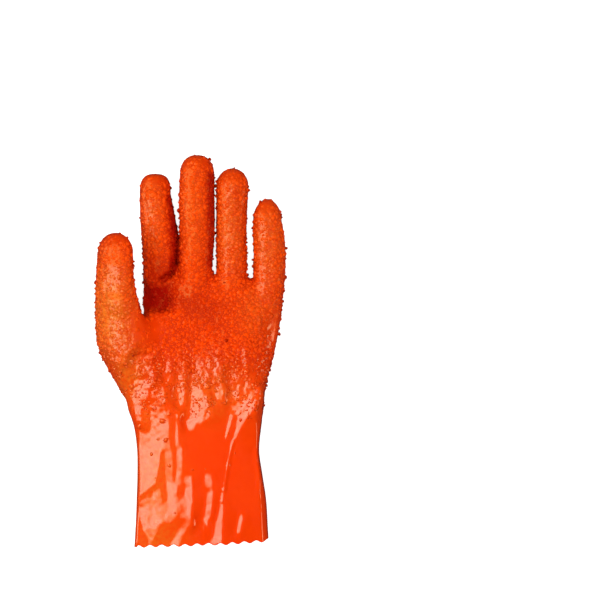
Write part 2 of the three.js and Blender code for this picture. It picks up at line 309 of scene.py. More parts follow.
# Creases between the index finger and the middle finger.
FURROWS = [Ridge(*row) for row in (
    (-9.6, 96.0, -10.8, 68.0, 2.6, 5.0),
    (-10.8, 68.0, -14.5, 59.0, 3.4, 5.0),
    (-14.5, 59.0, -21.5, 54.5, 4.0, 5.0),
)]

# Painted shade: strips with soft edges, darkened where shade falls in the creases, in the recess at the
# root of the index finger and on the far sides of the fingers.
# Waves, here and below, are how far an edge wavers, how fast, and where the wave starts.
PAINTED_SHADE_STRIPS = [Strip(*row) for row in (
    (-38.0, 41.0, -20.0, 41.0, 11.5, 6.5, 0.91),  # root of the index finger
    (-26.0, 40.0, -24.0, 62.0, 9.0, 8.0, 0.46),
    (-12.0, 42.0, 12.0, 32.0, 9.0, 12.0, 0.45),
    (-14.8, 118.0, -12.6, 100.0, 2.9, 1.8, 0.82),  # right side of the index finger
    (-12.6, 100.0, -11.2, 70.0, 3.6, 2.0, 0.84),
    (-11.2, 74.0, -14.5, 62.0, 3.6, 2.2, 0.88),
    (-14.5, 62.0, -21.0, 55.0, 3.2, 2.4, 0.80),
    (16.4, 134.0, 16.2, 96.0, 3.2, 2.2, 0.80),  # right side of the middle finger
    (16.2, 96.0, 15.8, 66.0, 3.0, 2.4, 0.76),
)]
SHADE_WAVES = (Wave(0.75, 0.55, 1.0), Wave(0.45, 1.7))  # the strips waver from side to side
LIP_WAVES = (Wave(1.6, 0.5), Wave(0.8, 1.3))
LIP_FADE = 5.0
SHADE_LIP_X = -14.0  # left of this the painted shade ends at the step, along a wavy line

# Where the plastic ran clear over the crumbs, which are glossy there and dull elsewhere.
WET_FROM_Y = 6.0  # below this the wrist is wet, fully so from WET_FULL_Y on
WET_FULL_Y = -12.0
WET_WAVES = (Wave(4.0, 0.31, 2.0),)
DULL_FROM_Y = 8.0  # above this the palm side is dull where it has few crumbs too
WETS = [Strip(*row) for row in (
    (-56.2, 63.0, -56.2, 47.0, 8.4, 2.0, 0.62),  # thumb
    (-52.0, 37.0, -50.2, 1.0, 9.5, 2.0, 0.74),
    (57.5, 26.0, 60.5, -12.0, 5.0, 3.0, 0.90),  # edge of the palm
    (-30.0, 112.0, -31.0, 92.0, 5.0, 4.0, 0.45),  # fingers
    (34.0, 122.0, 32.0, 62.0, 6.0, 4.0, 0.45),
    (58.5, 96.0, 58.5, 40.0, 6.0, 4.0, 0.45),
)]

# The wavy hem.
HEM_LOW_X = -44.1
HEM_RISE = 0.05
HEM_PITCH = 9.0
HEM_DEPTH = 1.9
HEM_REACH = 9.0

# Crumbs, by grade: the least distance between two, the range of their size and height, how far they may be
# drawn out, how many sides and rings each has, and the seed of the grade's random draws. Domes are crumbs
# that the coating has run over, runs are drawn out by it, and grains stand out of it. A lone dome's foot
# reaches 1.8 times its radius.
DOMES = Grade(2.80, 1.25, 2.5, 0.45, 1.40, 1.25, 8, (0.30, 0.62, 1.0), 11)
FINE_DOMES = Grade(1.40, 0.60, 1.0, 0.14, 0.36, 1.25, 6, (0.50, 1.0), 12)
GRAINS = Grade(5.60, 0.85, 1.60, 0, 0, 1, 0, (), 13)
RUNS = Grade(2.00, 0.90, 1.60, 0.42, 0.72, 1.9, 8, (0.30, 0.62, 1.0), 14)
LONE_DOMES = DOMES._replace(small=0.0, large=1.8, low=0.0, high=0.75)
DOME_FALL = 1.5  # how fast a dome falls away from its top
DOME_FOOT = 0.11  # the share of its height that it is set into the surface
FINGER_GIRTH = 26.0  # the rim of a dome bends down with a surface as round as this
TRIES = 4  # how often each place is tried when crumbs are scattered
SMALLER_CRUMBS = 1.6  # small crumbs are commoner than large ones
RIM_SHADE = 0.62  # painted shade: how dark the colour is painted round the foot of a wet crumb
GRIT_FULL_Y = 4.0  # crumbs cover all of the palm above this, and thin out below it
GRIT_NONE_Y = -58.0
GRIT_POWER = 2.2
GRIT_WAVES = (Wave(5.0, 0.21, 1.0), Wave(3.0, 0.47))
KNUCKLE_Y = 58.0  # above this some crumbs lie on the backs of the fingers too, by FINGER_BACK
FINGER_BACK = 0.30
TIP_BARE = 0.6  # the share of the crumbs that the ends and the sides of the fingers lack
TIP_END = (15.0, 12.0)  # how far from its end a finger has fewer crumbs, and over what stretch it begins
TIP_SIDE = (58.0, 22.0)
GRAIN_BARE = 0.98  # grains stand at the outline: the palm side lacks this share of them
RUNS_FROM_Y = -50.0
RUNS_TO_Y = 18.0
RUNS_FADE = 16.0
RUNS_WAVES = (Wave(7.0, 0.17, 0.5), Wave(3.0, 0.53))
RUNS_COVER = 0.9

# Which piece a crumb belongs to.
THUMB_X = -36.0
THUMB_LEAN = 0.12
THUMB_LEAN_Y = 30.0
THUMB_FROM_Y = -25.0
FINGERS_FROM_Y = 54.0

# Smooth places among the crumbs.
BARES = [
    Place(65, 10, 6, 20, 0.88),  # edge of the palm
    Place(-27, 16, 9, 13, 0.80),  # web of the thumb
    Place(-54, -21, 13, 17, 0.88),  # ball of the thumb
    Place(-36, 24, 6, 18, 0.85),  # crease beside the thumb
]

# Single crumbs on the smooth cuff.
LONE_CRUMBS = [
    Crumb(-20.6, -52.4, 1.8), Crumb(-18.0, -67.3, 1.4), Crumb(-24.1, -66.2, 0.9),
    Crumb(-29.5, -77.6, 1.0), Crumb(-14.9, -86.1, 1.2), Crumb(-39.0, -57.0, 1.9),
    Crumb(-15.0, -47.0, 0.9),
    Crumb(-53.2, -15.7, 1.0), Crumb(38.6, -50.9, 1.0), Crumb(-9.6, -42.5, 0.7),
    Crumb(3.1, -89.6, 0.6), Crumb(-11.0, -122.8, 0.7), Crumb(34.8, -76.9, 0.5),
    Crumb(29.0, -62.0, 0.6), Crumb(12.0, -88.0, 0.5), Crumb(-26.0, -96.0, 0.6),
]

# Painted sheen: round places where the colour is painted paler and yellower, standing in for the soft gloss
# of the lamps, and how strongly each is so.
PAINTED_SHEENS = [
    Place(-60, 32, 16, 38, 0.95),  # thumb
    Place(-47, -16, 13, 26, 0.72),  # its ball
    Place(-29, 105, 10, 30, 0.38),  # index finger
    Place(2, 110, 12, 50, 0.28),  # middle finger
    Place(30, 95, 13, 42, 0.42),
    Place(59, 80, 13, 38, 0.42),
    Place(52, 34, 16, 24, 0.30),  # edge of the palm
    Place(-26, -98, 19, 60, 0.50),  # left half of the cuff
    Place(-24, -142, 20, 16, 0.60),  # by the hem
    Place(16, -32, 42, 20, 0.44),  # wrist
    Place(-33, -50, 5, 10, 0.50),  # dull stretch under the ball of the thumb
]

# Colours, linear.
ORANGE = (0.775, 0.039, 0.0006)
DEEP_ORANGE = (0.750, 0.034, 0.0005)
GRIT_ORANGE = (0.800, 0.048, 0.0006)
GRIT_DEEP = (0.640, 0.030, 0.0006)
CRUMB_GAP_SHADE = (0.520, 0.018, 0.0005)  # painted shade: the coating darker between the crumbs
# Painted sheen: the paler, yellower colour that stands in for the lamps' soft gloss.
PAINTED_SHEEN_ORANGE = (0.680, 0.128, 0.0100)
# Painted shade: the deep red of the creases, the recess at the root of the index finger and the far sides
# of the fingers.
PAINTED_SHADE_RED = (0.300, 0.0016, 0.0008)
GLINT = (1.00, 0.44, 0.12)  # tint of the gloss between the crumbs
CRUMB_GLINT = (0.48, 0.21, 0.06)
WET_GLINT = (1.00, 0.95, 0.58)
SHADED_GRAIN = (0.36, 0.012, 0.0005)  # grains that stand out, with painted shade: darker, as the shaded crumbs at the outline look
KNIT = (0.62, 0.40, 0.27)
KNIT_SHADE = tuple(part * 0.8 for part in KNIT)
FLOOR = (0.50, 0.50, 0.50)
FLOOR_GLOW = 0.88
SHEEN_EDGE = 0.26  # how much of the main soft box fades, on each side
SHEEN_CLOUD = 6.0
SHEEN_RIM = (1.00, 0.93, 0.30)
SHEEN_MIDDLE = (0.88, 0.93, 0.70)
FLOOR_HALF = 4.0  # in metres, as is how far the floor lies below the glove
FLOOR_DROP = 0.0002
DARK_FLOOR = (0.02, 0.02, 0.02)  # the floor as the gloss mirrors it
DIM_ROOM = (0.012, 0.012, 0.012)  # the studio as it lights the glove
PALE_WALL = (0.90, 0.90, 0.90)  # the studio behind the floor

# Soft boxes that face the glove, in degrees and metres. +X is azimuth 0. Some are only mirrored in the
# gloss, and the others only light the glove.
WHITE = (1.0, 1.0, 1.0)
LAMPS = [
    Lamp("sheen", 172, 36, 1.1, 1.36, 1.30, 6.0, True, WHITE),
    Lamp("edge", 342, 12, 1.2, 0.50, 0.30, 5.0, True, (1.0, 0.85, 0.45)),
    Lamp("key", 186, 40, 1.4, 0.8, 0.7, 5.4, False, (1.0, 1.10, 0.9)),
    Lamp("side", 4, 16, 1.3, 0.6, 0.5, 3.2, False, WHITE),
    Lamp("fill", 60, 84, 1.5, 1.9, 1.9, 3.05, False, WHITE),
]


def smooth(t):
    """0 to 1 with soft ends."""
    t = np.clip(t, 0.0, 1.0)
    return t * t * (3 - 2 * t)


def wavy(t, waves):
    """How far an edge wavers at t, by a few waves."""
    return sum(wave.height * np.sin(t * wave.pitch + wave.start) for wave in waves)


def facing_up(normals, start, fade):
    """0 to 1 as the normals turn upwards, from where their Z is start and over the fade."""
    return smooth((normals[:, 2] - start) / fade)


def at(rows, y):
    """Every column of a table of sections at y, by a cubic through its rows."""
    table = np.array(rows, float)
    known = table[:, 0]
    y = np.clip(np.asarray(y, float), known[0], known[-1])
    i = np.clip(np.searchsorted(known, y, side="right") - 1, 0, len(known) - 2)
    before = np.maximum(i - 1, 0)
    after = np.minimum(i + 2, len(known) - 1)
    span = (known[i + 1] - known[i])[..., None]
    t = (y - known[i])[..., None] / span
    slope0 = (table[i + 1] - table[before]) / (known[i + 1] - known[before])[..., None] * span
    slope1 = (table[after] - table[i]) / (known[after] - known[i])[..., None] * span
    columns = (
        (2 * t**3 - 3 * t**2 + 1) * table[i]
        + (t**3 - 2 * t**2 + t) * slope0
        + (3 * t**2 - 2 * t**3) * table[i + 1]
        + (t**3 - t**2) * slope1
    )
    return type(rows[0])(*np.moveaxis(columns, -1, 0))


def superellipse(angle, half_width, half_thick, power):
    """Points of a round or squarish section, at angles that run from +X over the top."""
    c, s = np.cos(angle), np.sin(angle)
    x = np.sign(c) * half_width * np.abs(c) ** (2 / power)
    z = np.sign(s) * half_thick * np.abs(s) ** (2 / power)
    return x, z


def loft(rings):
    """Vertices and faces of the closed solid through rings of points."""
    count, sides = rings.shape[:2]
    start = (np.arange(count - 1) * sides)[:, None]
    side = np.arange(sides)
    turn = (side + 1) % sides
    walls = np.stack([start + side, start + sides + side, start + sides + turn, start + turn], -1)
    verts = np.concatenate([rings.reshape(-1, 3), rings[0].mean(0)[None], rings[-1].mean(0)[None]])
    first, last = count * sides, count * sides + 1
    near = [(first, s, t) for s, t in zip(side, turn)]
    far = [(last, t + (count - 1) * sides, s + (count - 1) * sides) for s, t in zip(side, turn)]
    faces = [tuple(int(v) for v in f) for f in walls.reshape(-1, 4)]
    faces += [tuple(int(v) for v in f) for f in near + far]
    return verts, faces


def felt(x, y, place):
    """How strongly a round place is felt at each point, from its amount in the middle to 0 around it."""
    u, v = (x - place.x) / place.reach_x, (y - place.y) / place.reach_y
    return place.amount * np.exp(-(u**2) - v**2)


def swells_at(x, y):
    """How far the swellings lift the palm side."""
    return sum(felt(x, y, swell) for swell in SWELLS)


def hand_rings():
    """Sections of the hand and cuff."""
    low, high = HEM_Y - MOUTH_OVERRUN, HAND[-1].y
    y = np.linspace(low, high, int((high - low) / RING_STEP) + 1)[:, None]
    angle = np.linspace(0, 2 * math.pi, HAND_SIDES, endpoint=False)[None, :]
    row = at(HAND, y)
    x, z = superellipse(angle, (row.right - row.left) / 2, (row.top - row.base) / 2, row.square)
    x = x + (row.left + row.right) / 2
    z = z + (row.top + row.base) / 2
    z = z + smooth(np.sin(angle) * 2) * swells_at(x, y)
    return np.stack([x, np.broadcast_to(y, x.shape), np.maximum(z, 0.0)], -1)


def aside(finger, y):
    """How far a finger is moved aside at y while the glove is joined."""
    return finger.spread * smooth((y - finger.spread_y) / SPREAD_LENGTH)


def finger_rings(finger):
    """Sections of a finger, moved aside from its neighbours."""
    shoulder = finger.rows[-1].y
    body = np.arange(finger.rows[0].y, shoulder, RING_STEP)
    turn = np.linspace(0, 0.48 * math.pi, TIP_RINGS)
    rise, shrink = (part ** (2 / finger.blunt) for part in (np.sin(turn), np.cos(turn)))
    y = np.concatenate([body, shoulder + (finger.tip - shoulder) * rise / rise[-1]])[:, None]
    share = np.concatenate([np.ones(len(body)), shrink])[:, None]
    angle = np.linspace(0, 2 * math.pi, FINGER_SIDES, endpoint=False)[None, :]
    row = at(finger.rows, y)
    x, z = superellipse(angle, row.width / 2 * share, row.thick / 2 * share, finger.square)
    z = np.maximum(z + row.z + finger.tilt * x, 0.0)
    x = x + row.x + aside(finger, y)
    return np.stack([x, np.broadcast_to(y, x.shape), z], -1)


def coordinates(mesh):
    """The vertices of a mesh, in millimetres."""
    co = np.empty(len(mesh.vertices) * 3, np.float32)
    mesh.vertices.foreach_get("co", co)
    return co.reshape(-1, 3).astype(float) / MM


def set_coordinates(mesh, points):
    """Move the vertices of a mesh to points in millimetres."""
    mesh.vertices.foreach_set("co", (points * MM).astype(np.float32).ravel())
    mesh.update()


def normals_of(mesh):
    """The normals at the vertices of a mesh."""
    normals = np.empty(len(mesh.vertices) * 3, np.float32)
    mesh.vertex_normals.foreach_get("vector", normals)
    return normals.reshape(-1, 3).astype(float)


def surface(obj):
    """The vertices of an object's mesh and the normals there."""
    return coordinates(obj.data), normals_of(obj.data)


@contextmanager
def edited(obj):
    """The mesh of an object, open for changes of its faces."""
    mesh = bmesh.new()
    mesh.from_mesh(obj.data)
    yield mesh
    mesh.to_mesh(obj.data)
    mesh.free()


def add_object(name, data):
    """A new object in the scene that holds a mesh, a light or a camera."""
    obj = bpy.data.objects.new(name, data)
    bpy.context.scene.collection.objects.link(obj)
    return obj


def modified(obj, kind, **settings):
    """Give obj the mesh that one modifier makes of it."""
    modifier = obj.modifiers.new(kind, kind)
    for key, value in settings.items():
        setattr(modifier, key, value)
    shaped = obj.evaluated_get(bpy.context.evaluated_depsgraph_get())
    mesh = bpy.data.meshes.new_from_object(shaped)
    obj.modifiers.clear()
    obj.data = mesh


def moved_aside(points):
    """How far each point of the spread glove has moved with its finger."""
    y = points[:, 1]
    shifts = np.stack([aside(f, y) for f in FINGERS.values()])
    centres = np.stack([at(f.rows, y).x for f in FINGERS.values()]) + shifts
    nearest = np.abs(centres - points[:, 0]).argmin(0)
    return shifts[nearest, np.arange(len(points))]


def joined_form(name):
    """The glove's outer form as one closed skin on a grid, with its fingers back in place."""
    verts, faces = [], []
    for rings in [hand_rings()] + [finger_rings(f) for f in FINGERS.values()]:
        v, f = loft(rings)
        start = sum(len(part) for part in verts)
        verts.append(v)
        faces += [tuple(i + start for i in face) for face in f]
    mesh = bpy.data.meshes.new(name)
    mesh.from_pydata((np.concatenate(verts) * MM).tolist(), [], faces)
    glove = add_object(name, mesh)
    modified(glove, "REMESH", mode="VOXEL", voxel_size=VOXEL * MM, use_smooth_shade=True)
    modified(glove, "SMOOTH", factor=0.5, iterations=int(2 * (SMOOTH_REACH / VOXEL) ** 2))
    points = coordinates(glove.data)
    points[:, 0] -= moved_aside(points)
    set_coordinates(glove.data, points)
    return glove


def strip_share(x, y, strip, edge=FACET_EDGE):
    """How much of a tapered strip with soft edges covers each point, from 0 to 1."""
    dx, dy = strip.x1 - strip.x0, strip.y1 - strip.y0
    long = math.hypot(dx, dy)
    along = ((x - strip.x0) * dx + (y - strip.y0) * dy) / long
    off = np.abs((x - strip.x0) * dy - (y - strip.y0) * dx) / long
    half = strip.half0 + (strip.half1 - strip.half0) * np.clip(along / long, 0, 1)
    inside = np.minimum(half - off, np.minimum(along + edge, long - along + edge))
    return smooth(inside / edge * 0.5 + 0.5)


def line_share(x, y, line):
    """How near each point is to a line, from 0 at its reach to 1 on it."""
    half = line.reach / 2
    return strip_share(x, y, Facet(*line[:4], half, half, 0), half)


def soft_strip(x, y, strip):
    """How strongly a strip of one width is felt at each point."""
    return strip.share * strip_share(x, y, Facet(*strip[:4], strip.half, strip.half, 0), strip.edge)


def height_from_slopes(slope_x, slope_y, step):
    """The surface whose slopes come nearest to the given ones, by a Fourier solution on a mirrored grid."""
    gx = np.concatenate([slope_x, -slope_x[::-1]], 0)
    gx = np.concatenate([gx, gx[:, ::-1]], 1)
    gy = np.concatenate([slope_y, slope_y[::-1]], 0)
    gy = np.concatenate([gy, -gy[:, ::-1]], 1)
    wx = 2 * math.pi * np.fft.fftfreq(gx.shape[0], step)[:, None]
    wy = 2 * math.pi * np.fft.fftfreq(gx.shape[1], step)[None, :]
    square = wx**2 + wy**2 + 1 / SLACK_REACH**2
    height = np.fft.ifft2((-1j * wx * np.fft.fft2(gx) - 1j * wy * np.fft.fft2(gy)) / square).real
    return height[: slope_x.shape[0], : slope_x.shape[1]]


def heights_over(skin, x, y, missing):
    """The height of a skin's upper side at grid points, and the missing value where there is none."""
    tree = BVHTree.FromPolygons(coordinates(skin.data).tolist(), triangles_of(skin.data).tolist())
    down = Vector((0, 0, -1))
    hits = [tree.ray_cast(Vector((a, b, LENGTH)), down)[0] for a, b in zip(x.ravel(), y.ravel())]
    found = np.array([np.nan if hit is None else hit.z for hit in hits]).reshape(x.shape)
    return np.where(np.isnan(found), missing, found)


def on_glove(strip, *widths):
    """A strip given in the photograph's pixels, in millimetres with one decimal."""
    sizes = {name: getattr(strip, name) * PIXEL for name in widths}
    for end in "01":
        sizes["x" + end] = (getattr(strip, "x" + end) - ORIGIN_PX[0]) * PIXEL
        sizes["y" + end] = (ORIGIN_PX[1] - getattr(strip, "y" + end)) * PIXEL
    return strip._replace(**{name: round(size, 1) for name, size in sizes.items()})


def cuff_relief(skin):
    """The buckles of the cuff as a grid of heights over the plain form: X values, Y values and heights."""
    step = RELIEF_STEP
    xs, ys = np.arange(*RELIEF_X, step), np.arange(*RELIEF_Y, step)
    x, y = np.meshgrid(xs, ys, indexing="ij")
    row = at(HAND, y)
    half = (row.right - row.left) / 2
    u = np.clip(np.abs(x - (row.left + row.right) / 2) / half, 0, FORM_EDGE)
    form = (row.top - row.base) / 2 * (1 - u**row.square) ** (1 / row.square) + swells_at(x, y)
    form_x, form_y = np.gradient(form, step)
    palm = ys > MEASURED_FROM_Y
    hand_x, hand_y = np.gradient(heights_over(skin, x[:, palm], y[:, palm], 0.0), step)
    blend = smooth((y[:, palm] - MEASURED_FROM_Y) / MEASURED_BLEND)
    form_x[:, palm] += (np.clip(hand_x, -STEEPEST, STEEPEST) - form_x[:, palm]) * blend
    form_y[:, palm] += (np.clip(hand_y, -STEEPEST, STEEPEST) - form_y[:, palm]) * blend
    slope_x, slope_y, held = np.zeros_like(x), np.zeros_like(x), np.zeros_like(x)
    for f in (on_glove(facet, "half0", "half1") for facet in FACETS):
        share = strip_share(x, y, f)
        slope_x += (f.lean - form_x - slope_x) * share
        slope_y += (f.pitch - form_y - slope_y) * share
        held += (f.hold - held) * share
    height = np.zeros_like(x)
    for _ in range(BUCKLE_ROUNDS):
        free_x, free_y = (g * BUCKLE_FREEDOM for g in np.gradient(height, step))
        wanted_x = free_x + (slope_x - free_x) * held
        height = height_from_slopes(wanted_x, free_y + (slope_y - free_y) * held, step)
    height *= smooth((CUFF_FADE_FROM - y) / (CUFF_FADE_FROM - CUFF_FADE_TO))
    for r in (on_glove(ridge, "reach") for ridge in RIDGES):
        height += r.height * line_share(x, y, r)
    return xs, ys, height


def sampled(grid, x, y):
    """A grid of heights at points, by its four nearest values."""
    xs, ys, height = grid
    step = xs[1] - xs[0]
    i = np.clip((x - xs[0]) / step, 0, len(xs) - 1.001)
    j = np.clip((y - ys[0]) / step, 0, len(ys) - 1.001)
    i0, j0 = i.astype(int), j.astype(int)
    a, b = i - i0, j - j0
    return (
        height[i0, j0] * (1 - a) * (1 - b)
        + height[i0 + 1, j0] * a * (1 - b)
        + height[i0, j0 + 1] * (1 - a) * b
        + height[i0 + 1, j0 + 1] * a * b
    )


def painted_shade_at(points):
    """How strongly shade is painted at each point, from 0 to 1."""
    x, y = points[:, 0], points[:, 1]
    across = x + wavy(y, SHADE_WAVES)
    painted_shade = np.max([soft_strip(across, y, strip) for strip in PAINTED_SHADE_STRIPS], 0)
    above_step = smooth((y - STEP_Y + wavy(x, LIP_WAVES)) / LIP_FADE)
    above_step = above_step * smooth((x - STEP_LEFT_X) / STEP_LEFT_REACH)
    return painted_shade * np.maximum(above_step, smooth((x - SHADE_LIP_X) / 12.0))


def wet_at(points):
    """How clear the gloss is at each point, from 0 on dull grit to 1."""
    x, y = points[:, 0], points[:, 1]
    wet = smooth((WET_FROM_Y + wavy(x, WET_WAVES) - y) / (WET_FROM_Y - WET_FULL_Y))
    return np.max([wet, *(soft_strip(x, y, strip) for strip in WETS)], 0)


def painted_sheen_at(points):
    """How strongly sheen is painted at each point, from 0 to 1."""
    return np.max([felt(points[:, 0], points[:, 1], place) for place in PAINTED_SHEENS], 0)


def add_values(mesh, name, values):
    """Keep one number for each point of a mesh."""
    mesh.attributes.new(name, "FLOAT", "POINT").data.foreach_set("value", values.astype(np.float32))


def tips_at(points, reach, fade):
    """0 to 1 over a fade that starts at a reach from the end of each point's finger."""
    centres = np.stack([at(f.rows, points[:, 1]).x for f in FINGERS.values()])
    tips = np.array([f.tip for f in FINGERS.values()])
    tip = tips[np.abs(centres - points[:, 0]).argmin(0)]
    return smooth((points[:, 1] - (tip - reach)) / fade)


def grit_at(points, normals):
    """How thickly crumbs cover each point, from 0 to 1."""
    x, y = points[:, 0], points[:, 1]
    cover = smooth((y + wavy(x, GRIT_WAVES) - GRIT_NONE_Y) / (GRIT_FULL_Y - GRIT_NONE_Y)) ** GRIT_POWER
    on_finger = smooth((y - KNUCKLE_Y) / 8)
    cover = cover * np.maximum(facing_up(normals, -0.80, 0.45), FINGER_BACK * on_finger)
    for place in BARES:
        cover = cover * (1 - felt(x, y, place))
    cover = cover * (1 - TIP_BARE * tips_at(points, *TIP_END))
    side = 1 - facing_up(normals, 0.10, 0.3)
    return np.clip(cover * (1 - TIP_BARE * side * tips_at(points, *TIP_SIDE)), 0, 1)


def wobble(points, size, seed):
    """Smooth noise at points, about -1 to 1, with features of the given size in millimetres."""
    shift = Vector((seed, 0, 0))
    return np.array([noise.noise(Vector(p / size) + shift) for p in points]) * NOISE_GAIN


def lumpy(points, lumps):
    """How far lumps of several kinds together lift each point."""
    return sum(lump.height * wobble(points, lump.size, lump.seed) for lump in lumps)


def relaxed(mesh, points, share, rounds):
    """Points moved towards the middle of their neighbours, each by its share, in a number of rounds."""
    edges = np.empty(len(mesh.edges) * 2, np.int32)
    mesh.edges.foreach_get("vertices", edges)
    a, b = edges.reshape(-1, 2).T
    count = (np.bincount(a, minlength=len(points)) + np.bincount(b, minlength=len(points)))[:, None]
    for _ in range(rounds):
        total = np.zeros_like(points)
        for axis in range(3):
            total[:, axis] += np.bincount(a, points[b, axis], len(points))
            total[:, axis] += np.bincount(b, points[a, axis], len(points))
        points = points + (total / count - points) * share[:, None] * RELAX_STEP
    return points


def sink(points, depth, middle):
    """Lower points by a depth, but keep each above the middle of its wall."""
    room = np.maximum(points[:, 2] - middle, 0) * SINK_SHARE
    points[:, 2] -= np.clip(depth, 0, room)


def smooth_web(glove):
    """Draw the web between the thumb and the palm smooth, and fill the undercut beside the thumb."""
    points, normals = surface(glove)
    x, y, z = points.T
    web = np.exp(-(((x - WEB_X) / WEB_HALF) ** 4) - ((y - WEB_Y) / WEB_REACH) ** 4)
    undercut = facing_up(normals, -0.8, 0.4) * smooth((z - UNDERCUT_FROM_Z) / 6.0)
    undercut = undercut * smooth((UNDERCUT_TO_Y - y) / UNDERCUT_FADE)
    web = web * np.maximum(facing_up(normals, 0.0, 0.3), undercut)
    points = relaxed(glove.data, points, web, int(WEB_SPREAD**2 / (VOXEL * 0.5) ** 2))
    set_coordinates(glove.data, points)


def shape_surface(glove, relief):
    """Buckle the cuff, sink the root of the index finger and make the gritty parts uneven."""
    points, normals = surface(glove)
    x, y = points[:, 0], points[:, 1]
    up = facing_up(normals, 0.02, 0.35)
    row = at(HAND, y)
    buckle = sampled(relief, x, y) * up
    sink(points, -buckle, (row.top + row.base) / 2)
    points[:, 2] += np.maximum(buckle, 0)
    step = smooth((y - STEP_Y) / STEP_REACH) * smooth((STEP_END_Y - y) / (STEP_END_Y - STEP_Y))
    left = STEP_LEFT_X + STEP_LEFT_LEAN * np.maximum(points[:, 2] - STEP_FLOOR_Z, 0)
    side = np.exp(-((np.maximum(x - STEP_X, 0) / STEP_HALF) ** 4)) * smooth((x - left) / STEP_LEFT_REACH)
    sink(points, STEP_DEPTH * step * side, STEP_FLOOR_Z)
    for f in FURROWS:
        sink(points, f.height * line_share(x, y, f), STEP_FLOOR_Z)
    grit = grit_at(points, normals)
    wrist = smooth((y - WRIST_FROM) / 22.0) * smooth((WRIST_TO - y) / 20.0)
    wrist = wrist * (1 - WRIST_CALM * smooth((WRIST_CALM_Y - y) / 14.0))
    lumps = grit * lumpy(points, GRIT_LUMPS) + wrist * lumpy(points, WRIST_LUMPS)
    points += normals * lumps[:, None]
    slack = smooth((-40 - y) / 20) * up
    points[:, 2] += lumpy(points, SLACK_LUMPS) * slack
    points[:, 2] = np.maximum(points[:, 2], 0.0)
    set_coordinates(glove.data, points)


def cut_hem(glove):
    """Open the cuff along a wavy line."""
    hem, outwards = Vector((HEM_LOW_X, HEM_Y, 0)) * MM, (HEM_RISE, -1, 0)
    with edited(glove) as mesh:
        everything = mesh.verts[:] + mesh.edges[:] + mesh.faces[:]
        bmesh.ops.bisect_plane(mesh, geom=everything, plane_co=hem, plane_no=outwards, clear_outer=True)
    points = coordinates(glove.data)
    above = points[:, 1] - (HEM_Y + (points[:, 0] - HEM_LOW_X) * HEM_RISE)
    wave = (1 - np.cos(2 * math.pi * (points[:, 0] - HEM_LOW_X) / HEM_PITCH)) / 2
    points[:, 1] += HEM_DEPTH * wave * np.clip(1 - above / HEM_REACH, 0, 1) ** 2
    set_coordinates(glove.data, points)


def triangles_of(mesh):
    """The corners of a mesh's triangles."""
    mesh.calc_loop_triangles()
    corners = np.empty(len(mesh.loop_triangles) * 3, np.int32)
    mesh.loop_triangles.foreach_get("vertices", corners)
    return corners.reshape(-1, 3)


def scattered(points, normals, faces, cover, grade):
    """Places, normals and sizes for the crumbs of one grade, as thick as cover says at each point."""
    rng = np.random.default_rng(grade.seed)
    corners = points[faces]
    first, second = corners[:, 1] - corners[:, 0], corners[:, 2] - corners[:, 0]
    area = np.linalg.norm(np.cross(first, second), axis=1) / 2
    area *= cover[faces].max(1) > 0.02
    tries = int(area.sum() / grade.spacing**2 * TRIES)
    chosen = rng.choice(len(faces), tries, p=area / area.sum())
    share = rng.dirichlet((1, 1, 1), tries)
    place = np.einsum("nk,nkd->nd", share, corners[chosen])
    normal = np.einsum("nk,nkd->nd", share, normals[faces[chosen]])
    normal /= np.linalg.norm(normal, axis=1)[:, None]
    around = [(dx, dy, dz) for dx in (-1, 0, 1) for dy in (-1, 0, 1) for dz in (-1, 0, 1)]
    kept, filled = [], {}
    for i, key in enumerate(map(tuple, np.floor(place / grade.spacing).astype(int))):
        cells = ((key[0] + dx, key[1] + dy, key[2] + dz) for dx, dy, dz in around)
        if all(((place[i] - filled[c]) ** 2).sum() > grade.spacing**2 for c in cells if c in filled):
            filled[key] = place[i]
            kept.append(i)
    kept = np.array(kept)
    here = np.einsum("nk,nk->n", share[kept], cover[faces[chosen[kept]]])
    kept = kept[rng.random(len(kept)) < here]
    return place[kept], normal[kept], rng.random(len(kept)) ** SMALLER_CRUMBS


def mesh_of(name, corners, faces):
    """A smooth triangle mesh from arrays, in millimetres."""
    mesh = bpy.data.meshes.new(name)
    mesh.vertices.add(len(corners))
    mesh.vertices.foreach_set("co", (corners * MM).astype(np.float32).ravel())
    mesh.loops.add(faces.size)
    mesh.loops.foreach_set("vertex_index", faces.astype(np.int32).ravel())
    mesh.polygons.add(len(faces))
    mesh.polygons.foreach_set("loop_start", np.arange(0, faces.size, 3, dtype=np.int32))
    mesh.update(calc_edges=True)
    mesh.shade_smooth()
    return mesh


def repeated(lumps, faces):
    """The corners and faces of many lumps that share one set of faces."""
    count, corners = lumps.shape[:2]
    start = (np.arange(count) * corners)[:, None, None]
    return lumps.reshape(-1, 3), (faces[None] + start).reshape(-1, 3)


